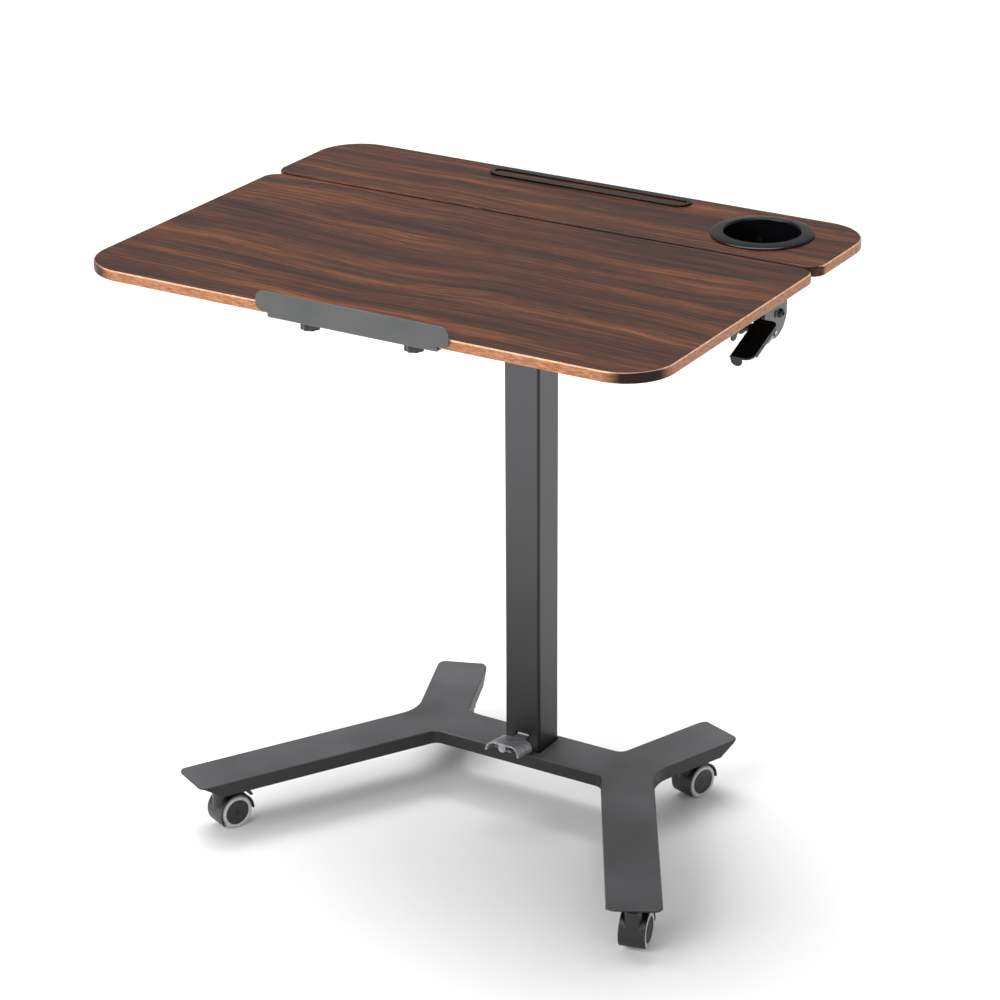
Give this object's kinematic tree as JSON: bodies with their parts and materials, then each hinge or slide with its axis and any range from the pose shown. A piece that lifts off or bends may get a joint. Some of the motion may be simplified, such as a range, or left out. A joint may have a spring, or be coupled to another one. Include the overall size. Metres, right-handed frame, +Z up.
{
  "type": "rolling laptop desk",
  "caption": "Rolling height-adjustable laptop desk: tilting main top with a front stop, fixed rear shelf with cup holder and tablet slot, pedal gas-spring column, braked twin-wheel casters.",
  "frame": {"origin": "on the floor, under the middle of the whole desk's bounding box", "axes": "+X to the user's right across the desk, +Y away from the user, +Z up"},
  "size_m": [0.756, 0.5764, 0.796],
  "materials": {
    "walnut_laminate": "satin",
    "charcoal_powder_coat": "fine texture",
    "grey_powder_coat": "satin",
    "zinc_steel": "satin",
    "cast_pedal": "satin",
    "black_plastic": "satin",
    "black_coated_steel": "satin",
    "hood_plastic": "matte",
    "caster_tyre": "satin"
  },
  "bodies": {
    "base": {"base_shell": "charcoal_powder_coat", "column_foot": "charcoal_powder_coat", "foot_bolt_1": "zinc_steel", "foot_bolt_2": "zinc_steel", "column_tube": "charcoal_powder_coat", "column_collar": "black_plastic", "release_block": "zinc_steel", "pedal_pin": "zinc_steel", "gas_spring_rod": "zinc_steel", "caster_front_left_stem": "zinc_steel", "caster_front_right_stem": "zinc_steel", "caster_rear_left_stem": "zinc_steel", "caster_rear_right_stem": "zinc_steel"},
    "pedal": {"foot_pedal": "cast_pedal"},
    "valve": {"valve_pin": "zinc_steel"},
    "lift": {"inner_tube": "charcoal_powder_coat", "lower_glide": "black_plastic", "gas_spring_cylinder": "black_coated_steel", "cross_beam": "charcoal_powder_coat", "rear_shelf": "walnut_laminate", "cup_holder": "black_plastic", "slot_liner": "black_plastic", "quadrant_left": "grey_powder_coat", "tilt_pin_left": "black_coated_steel", "quadrant_bolt_left": "black_coated_steel", "shelf_arm_left": "charcoal_powder_coat", "quadrant_right": "grey_powder_coat", "tilt_pin_right": "black_coated_steel", "quadrant_bolt_right": "black_coated_steel", "shelf_arm_right": "charcoal_powder_coat"},
    "top": {"main_top": "walnut_laminate", "tilt_arm_left": "charcoal_powder_coat", "tilt_arm_right": "charcoal_powder_coat", "paddle_bracket": "black_coated_steel", "paddle_pin": "zinc_steel"},
    "paddle": {"paddle_lever": "black_coated_steel", "brake_shoe": "zinc_steel", "spring_barrel": "zinc_steel"},
    "stop": {"stop_bar": "grey_powder_coat"},
    "knob_left": {"knob_left": "black_plastic"},
    "knob_right": {"knob_right": "black_plastic"},
    "caster_front_left_swivel": {"caster_front_left_hood": "hood_plastic", "caster_front_left_axle": "zinc_steel"},
    "caster_front_left_wheel_a": {"caster_front_left_wheel_a": "caster_tyre"},
    "caster_front_left_wheel_b": {"caster_front_left_wheel_b": "caster_tyre"},
    "caster_front_left_brake": {"caster_front_left_brake": "black_plastic"},
    "caster_front_right_swivel": {"caster_front_right_hood": "hood_plastic", "caster_front_right_axle": "zinc_steel"},
    "caster_front_right_wheel_a": {"caster_front_right_wheel_a": "caster_tyre"},
    "caster_front_right_wheel_b": {"caster_front_right_wheel_b": "caster_tyre"},
    "caster_front_right_brake": {"caster_front_right_brake": "black_plastic"},
    "caster_rear_left_swivel": {"caster_rear_left_hood": "hood_plastic", "caster_rear_left_axle": "zinc_steel"},
    "caster_rear_left_wheel_a": {"caster_rear_left_wheel_a": "caster_tyre"},
    "caster_rear_left_wheel_b": {"caster_rear_left_wheel_b": "caster_tyre"},
    "caster_rear_right_swivel": {"caster_rear_right_hood": "hood_plastic", "caster_rear_right_axle": "zinc_steel"},
    "caster_rear_right_wheel_a": {"caster_rear_right_wheel_a": "caster_tyre"},
    "caster_rear_right_wheel_b": {"caster_rear_right_wheel_b": "caster_tyre"}
  },
  "joints": [
    {"name": "height_lift", "type": "slide", "parent": "base", "child": "lift", "axis": [0, 0, 1], "range_m": [0, 0.36]},
    {"name": "desktop_tilt", "type": "hinge", "parent": "lift", "child": "top", "pos_m": [0, 0.09575, 0.73], "axis": [1, 0, 0], "range_deg": [0, 60]},
    {"name": "tilt_paddle", "type": "hinge", "parent": "top", "child": "paddle", "pos_m": [0.35, 0.04875, 0.7265], "axis": [-1, 0, 0], "range_deg": [0, 15], "stiffness_Nm_per_rad": 0.5, "springref_deg": -17.19},
    {"name": "foot_pedal_press", "type": "hinge", "parent": "base", "child": "pedal", "pos_m": [0, 0.10275, 0.094], "axis": [1, 0, 0], "range_deg": [0, 12], "stiffness_Nm_per_rad": 1.5, "springref_deg": -14.32},
    {"name": "valve_pin_rise", "type": "slide", "parent": "base", "child": "valve", "axis": [0, 0, 1], "range_m": [0, 0.0043]},
    {"name": "stop_bar_slide", "type": "slide", "parent": "top", "child": "stop", "axis": [0, -1, 0], "range_m": [0, 0.01]},
    {"name": "knob_left_turn", "type": "hinge", "parent": "top", "child": "knob_left", "pos_m": [-0.0605, -0.26525, 0.755], "axis": [0, 0, 1], "range_deg": [0, 720]},
    {"name": "knob_right_turn", "type": "hinge", "parent": "top", "child": "knob_right", "pos_m": [0.0765, -0.26525, 0.755], "axis": [0, 0, 1], "range_deg": [0, 720]},
    {"name": "caster_front_left_swivel", "type": "hinge", "parent": "base", "child": "caster_front_left_swivel", "pos_m": [-0.29819, -0.15322, 0.05], "axis": [0, 0, 1], "continuous": true},
    {"name": "caster_front_left_wheel_a_roll", "type": "hinge", "parent": "caster_front_left_swivel", "child": "caster_front_left_wheel_a", "pos_m": [-0.28294, -0.1434, 0.022], "axis": [-0.9205, 0.3907, 0], "continuous": true},
    {"name": "caster_front_left_wheel_b_roll", "type": "hinge", "parent": "caster_front_left_swivel", "child": "caster_front_left_wheel_b", "pos_m": [-0.30172, -0.13543, 0.022], "axis": [-0.9205, 0.3907, 0], "continuous": true},
    {"name": "caster_front_left_brake_lift", "type": "hinge", "parent": "caster_front_left_swivel", "child": "caster_front_left_brake", "pos_m": [-0.28914, -0.1319, 0.05045], "axis": [0.9205, -0.3907, 0], "range_deg": [0, 20]},
    {"name": "caster_front_right_swivel", "type": "hinge", "parent": "base", "child": "caster_front_right_swivel", "pos_m": [0.29819, -0.15322, 0.05], "axis": [0, 0, 1], "continuous": true},
    {"name": "caster_front_right_wheel_a_roll", "type": "hinge", "parent": "caster_front_right_swivel", "child": "caster_front_right_wheel_a", "pos_m": [0.30476, -0.13631, 0.022], "axis": [-0.9744, -0.225, 0], "continuous": true},
    {"name": "caster_front_right_wheel_b_roll", "type": "hinge", "parent": "caster_front_right_swivel", "child": "caster_front_right_wheel_b", "pos_m": [0.28488, -0.1409, 0.022], "axis": [-0.9744, -0.225, 0], "continuous": true},
    {"name": "caster_front_right_brake_lift", "type": "hinge", "parent": "caster_front_right_swivel", "child": "caster_front_right_brake", "pos_m": [0.29298, -0.13066, 0.05045], "axis": [0.9744, 0.225, 0], "range_deg": [0, 20]},
    {"name": "caster_rear_left_swivel", "type": "hinge", "parent": "base", "child": "caster_rear_left_swivel", "pos_m": [-0.17489, 0.21523, 0.05], "axis": [0, 0, 1], "continuous": true},
    {"name": "caster_rear_left_wheel_a_roll", "type": "hinge", "parent": "caster_rear_left_swivel", "child": "caster_rear_left_wheel_a", "pos_m": [-0.16892, 0.23236, 0.022], "axis": [-0.9659, -0.2588, 0], "continuous": true},
    {"name": "caster_rear_left_wheel_b_roll", "type": "hinge", "parent": "caster_rear_left_swivel", "child": "caster_rear_left_wheel_b", "pos_m": [-0.18862, 0.22708, 0.022], "axis": [-0.9659, -0.2588, 0], "continuous": true},
    {"name": "caster_rear_right_swivel", "type": "hinge", "parent": "base", "child": "caster_rear_right_swivel", "pos_m": [0.17489, 0.21523, 0.05], "axis": [0, 0, 1], "continuous": true},
    {"name": "caster_rear_right_wheel_a_roll", "type": "hinge", "parent": "caster_rear_right_swivel", "child": "caster_rear_right_wheel_a", "pos_m": [0.18903, 0.22659, 0.022], "axis": [-0.9563, 0.2924, 0], "continuous": true},
    {"name": "caster_rear_right_wheel_b_roll", "type": "hinge", "parent": "caster_rear_right_swivel", "child": "caster_rear_right_wheel_b", "pos_m": [0.16952, 0.23256, 0.022], "axis": [-0.9563, 0.2924, 0], "continuous": true}
  ],
  "couplings": [
    {"joint": "valve_pin_rise", "follows": "foot_pedal_press", "m_per_rad": 0.0196}
  ]
}
